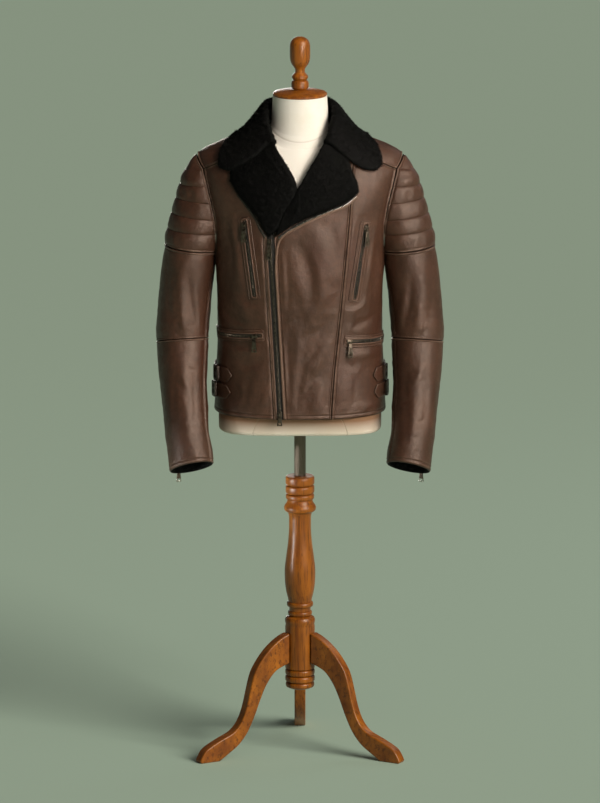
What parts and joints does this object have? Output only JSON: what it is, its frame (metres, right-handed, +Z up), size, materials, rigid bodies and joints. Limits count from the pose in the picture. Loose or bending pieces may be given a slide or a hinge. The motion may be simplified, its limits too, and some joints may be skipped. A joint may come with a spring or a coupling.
{
  "type": "leather biker jacket on a dress form with a turned wooden tripod stand",
  "caption": "Brown shearling-lined leather biker jacket with a black fur collar, slanted front zip, zip pockets and side straps, worn by a limbless dress form on a turned wooden tripod stand.",
  "frame": {"origin": "centre of the bounding box at floor level", "axes": "+Z up, the wearer faces -Y, +X is the wearer's left"},
  "size_m": [0.6144, 0.41, 1.564],
  "materials": {
    "leather": "soft waxed nappa, dark brown, semi-matt",
    "shearling": "short dense black shearling pile",
    "zip_tape": "dark woven zip tape with metal teeth",
    "metal": "gunmetal plated, semi-gloss",
    "form_cloth": "ivory cloth stretched over the form",
    "wood": "stained and varnished, satin",
    "steel": "polished steel tube"
  },
  "bodies": {
    "stand": {"column": "wood", "leg_left": "wood", "leg_right": "wood", "leg_back": "wood"},
    "pole": {"pole": "steel"},
    "form": {"back": "leather", "buckle_lower_left": "leather", "buckle_lower_right": "leather", "buckle_upper_left": "leather", "buckle_upper_right": "leather", "collar": "shearling", "dress_form": "form_cloth", "finial": "wood", "front_left_centre": "leather", "front_left_side": "leather", "front_right": "leather", "lapel_left": "shearling", "lapel_right": "shearling", "neck_cap": "wood", "sleeve_rib_left": "leather", "sleeve_rib_right": "leather", "sleeve_top_lower_left": "leather", "sleeve_top_lower_right": "leather", "sleeve_top_upper_left": "leather", "sleeve_top_upper_right": "leather", "sleeve_under_lower_left": "leather", "sleeve_under_lower_right": "leather", "sleeve_under_upper_left": "leather", "sleeve_under_upper_right": "leather", "slider_chest_left": "metal", "slider_chest_right": "metal", "slider_cuff_left": "metal", "slider_cuff_right": "metal", "slider_front_foot": "metal", "slider_front_top": "metal", "slider_hip_left": "metal", "slider_hip_right": "metal", "strap_lower_left": "leather", "strap_lower_right": "leather", "strap_upper_left": "leather", "strap_upper_right": "leather", "zip_chest_left": "zip_tape", "zip_chest_right": "zip_tape", "zip_cuff_left": "zip_tape", "zip_cuff_right": "zip_tape", "zip_front": "zip_tape", "zip_hip_left": "zip_tape", "zip_hip_right": "zip_tape", "zip_lapel_left": "zip_tape", "zip_lapel_right": "zip_tape"},
    "pull_tab_chest_left": {"pull_chest_left": "metal"},
    "pull_tab_chest_right": {"pull_chest_right": "metal"},
    "pull_tab_cuff_left": {"pull_cuff_left": "metal"},
    "pull_tab_cuff_right": {"pull_cuff_right": "metal"},
    "pull_tab_front_foot": {"pull_front_foot": "metal"},
    "pull_tab_front_top": {"pull_front_top": "metal"},
    "pull_tab_hip_left": {"pull_hip_left": "metal"},
    "pull_tab_hip_right": {"pull_hip_right": "metal"}
  },
  "joints": [
    {"name": "height", "type": "slide", "parent": "stand", "child": "pole", "axis": [0, 0, 1], "range_m": [-0.1, 0.2]},
    {"name": "turn", "type": "hinge", "parent": "pole", "child": "form", "pos_m": [0, -0.04896, 0.8], "axis": [0, 0, 1], "continuous": true},
    {"name": "chest_left_pull", "type": "hinge", "parent": "form", "child": "pull_tab_chest_left", "pos_m": [0.14346, -0.14938, 1.15912], "axis": [-0.8362, -0.5485, 0], "range_deg": [0, 100]},
    {"name": "chest_right_pull", "type": "hinge", "parent": "form", "child": "pull_tab_chest_right", "pos_m": [-0.12039, -0.16213, 1.17034], "axis": [-0.9146, 0.4043, 0], "range_deg": [0, 100]},
    {"name": "cuff_left_pull", "type": "hinge", "parent": "form", "child": "pull_tab_cuff_left", "pos_m": [0.26009, -0.11155, 0.62504], "axis": [0.8646, -0.5025, 0], "range_deg": [0, 100]},
    {"name": "cuff_right_pull", "type": "hinge", "parent": "form", "child": "pull_tab_cuff_right", "pos_m": [-0.26009, -0.11155, 0.62504], "axis": [0.8646, 0.5025, 0], "range_deg": [0, 100]},
    {"name": "front_foot_pull", "type": "hinge", "parent": "form", "child": "pull_tab_front_foot", "pos_m": [-0.04338, -0.17903, 0.76178], "axis": [-0.9946, 0.1041, 0], "range_deg": [0, 100]},
    {"name": "front_top_pull", "type": "hinge", "parent": "form", "child": "pull_tab_front_top", "pos_m": [-0.06541, -0.17815, 1.13758], "axis": [-0.9807, 0.1953, 0], "range_deg": [0, 100]},
    {"name": "hip_left_pull", "type": "hinge", "parent": "form", "child": "pull_tab_hip_left", "pos_m": [0.10767, -0.15945, 0.91658], "axis": [-0.9246, -0.381, 0], "range_deg": [0, 100]},
    {"name": "hip_right_pull", "type": "hinge", "parent": "form", "child": "pull_tab_hip_right", "pos_m": [-0.09804, -0.1633, 0.92914], "axis": [-0.9432, 0.3322, 0], "range_deg": [0, 100]}
  ]
}
